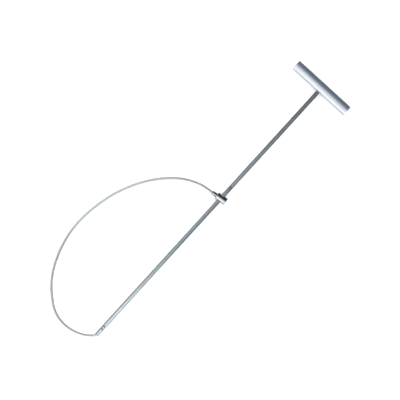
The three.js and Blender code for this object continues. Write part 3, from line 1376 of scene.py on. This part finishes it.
@dataclass
class Slider:
    """The barrel that rides on the rod, cocked as it locks, and the stud swaged on the rope's end."""

    tilt_degrees: float = 7.0
    radius: float = 7.0
    length: float = 21.0
    edge: float = 1.6
    edge_steps: int = 8
    bore: float = 5.25
    bore_y: float = 0.8
    lip: float = 0.4
    turn_steps: int = 36
    along_steps: int = 24
    rings: int = 8
    socket: float = 3.4
    socket_floor: float = 6.8
    plug: float = 3.2
    plug_start: float = 7.1
    collar: float = 10.8
    stud: float = 3.75
    stud_taper: float = 17.0
    stud_mouth: float = 20.5
    stud_mouth_radius: float = 3.1
    rope_bore: float = 2.68
    rope_floor: float = 9.0
    swage_rings: tuple[float, ...] = (12.9, 15.2)
    swage_depth: float = 0.16
    swage_reach: float = 0.35
    collar_round: float = 0.35
    end_ring: float = 2.6
    bore_grime: float = 0.7
    socket_grime: float = 0.8
    swage_grime: float = 0.6
    joint_grime: float = 0.9
    finish: MetalFinish = POLISHED_PLATE
    stud_finish: MetalFinish = SWAGED_STEEL

    def placement(self) -> Placement:
        """Give the barrel's axes.

        Returns:
            A placement at the barrel's middle in the frame, with its length leaning from +Y towards the
            tip.
        """
        low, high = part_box("slider_barrel")
        lean = math.radians(self.tilt_degrees)
        middle = (low + high) / 2
        along = (-math.sin(lean), math.cos(lean), 0.0)
        across = (math.cos(lean), math.sin(lean), 0.0)
        return Placement(tuple(middle), along, across)

    def barrel(self) -> bpy.types.Object:
        """Build and dress the barrel: two bored patches, the bore between them, and two rounded ends.

        Returns:
            The barrel.
        """
        half, wall_half = self.length / 2, self.length / 2 - self.edge
        skin = Skin(self.placement())
        for facing in (0.0, math.pi):
            opening = Opening(
                cylinder=self.radius,
                facing=facing,
                half_turn=math.pi / 2,
                low=-wall_half,
                high=wall_half,
                hole_y=self.bore_y,
                hole=self.bore,
                lip=self.lip,
                turn_steps=self.turn_steps,
                along_steps=self.along_steps,
            )
            skin.add(opening.wall(self.rings))
            skin.add(opening.rounded_lip(5))
            if facing == 0.0:
                skin.add(opening.bored_through(6))
        rounding = arc((wall_half, self.radius - self.edge), self.edge, 90, 0, self.edge_steps)
        blunt = np.array([[half, self.end_ring], [half, 0.0]])
        socket = np.array([
            [half, self.socket + 0.3], [half - 0.3, self.socket], [self.socket_floor, self.socket],
            [self.socket_floor, 0.0],
        ])
        skin.add(turned(np.vstack([rounding, socket]), 2 * self.turn_steps))
        skin.add(turned(np.vstack([rounding, blunt]) * np.array([-1, 1]), 2 * self.turn_steps))
        barrel = skin.weld("bored_barrel")
        spots = (coordinates(barrel) - np.array(self.placement().origin)) / MM
        local_y = spots @ np.array(self.placement().along)
        from_axis = np.hypot(spots @ np.array(self.placement().across), spots[:, 2])
        paint(barrel, "wear_and_sheen", near(half - np.abs(local_y) - 0.5, 1.0))
        in_bore = from_axis < self.radius - 0.25
        beside_bore = np.abs(local_y - self.bore_y) < self.bore + 0.1
        grime_and_shade = np.where(in_bore & beside_bore, self.bore_grime, 0.0)
        at_socket = near(local_y - half, 0.8) * (from_axis < self.socket + 0.5)
        paint(barrel, "grime_and_shade", grime_and_shade + self.socket_grime * at_socket)
        return dress(barrel, self.finish, "slider", "slider_barrel")

    def stud_piece(self) -> bpy.types.Object:
        """Build and dress the stud: a plug in the barrel's end, a collar with swage rings, a tapered mouth.

        Returns:
            The stud.
        """
        rounding = self.collar_round
        collar = arc((self.collar + rounding, self.stud - rounding), rounding, 180, 90, 4)
        shank = np.arange(self.collar + 0.5, self.stud_taper, 0.15)
        groove = sum(near(shank - place, self.swage_reach) for place in self.swage_rings)
        share = np.linspace(0, 1, 12)
        taper = np.stack([
            self.stud_taper + share * (self.stud_mouth - self.stud_taper - 0.3),
            self.stud + (self.stud_mouth_radius - self.stud) * (0.5 - 0.5 * np.cos(math.pi * share)) ** 1.2,
        ], axis=1)
        mouth = np.array([
            [self.stud_mouth, self.stud_mouth_radius - 0.12], [self.stud_mouth - 0.15, self.rope_bore + 0.1],
            [self.stud_mouth - 0.8, self.rope_bore], [self.rope_floor, self.rope_bore],
            [self.rope_floor, 0.0],
        ])
        profile = np.vstack([
            [[self.plug_start, 0.0], [self.plug_start, self.plug - 0.2], [self.plug_start + 0.2, self.plug]],
            [[self.collar, self.plug]], collar,
            np.stack([shank, self.stud - self.swage_depth * groove], 1), taper, mouth,
        ])
        skin = Skin(self.placement())
        skin.add(turned(profile, 72))
        stud = skin.weld("swaged_stud")
        spots = (coordinates(stud) - np.array(self.placement().origin)) / MM
        local_y = spots @ np.array(self.placement().along)
        dirt = sum(near(local_y - place, 0.5) for place in self.swage_rings)
        at_collar, at_mouth = near(local_y - self.collar, 0.5), near(local_y - self.stud_mouth, 0.5)
        joints = self.joint_grime * at_collar + self.joint_grime * at_mouth
        paint(stud, "grime_and_shade", self.swage_grime * dirt + joints)
        paint(stud, "wear_and_sheen", near(local_y - self.stud_taper, 1.5))
        return dress(stud, self.stud_finish, "slider", "cable_stud")


def main() -> None:
    """Build the camera, the rope, the rigid pieces and the studio, in that order, and log each rigid piece as
    it is dressed.
    """
    logging.basicConfig(level=logging.INFO, format="%(name)s %(levelname)s %(message)s")
    studio = Studio()
    studio.camera()
    WireRope().build()
    Rod().build()
    handle = Handle()
    handle.bar()
    handle.pin()
    slider = Slider()
    slider.barrel()
    slider.stud_piece()
    studio.floor()
    studio.panels()
    studio.stand_flags()
    studio.sky()


if __name__ == "__main__":
    main()
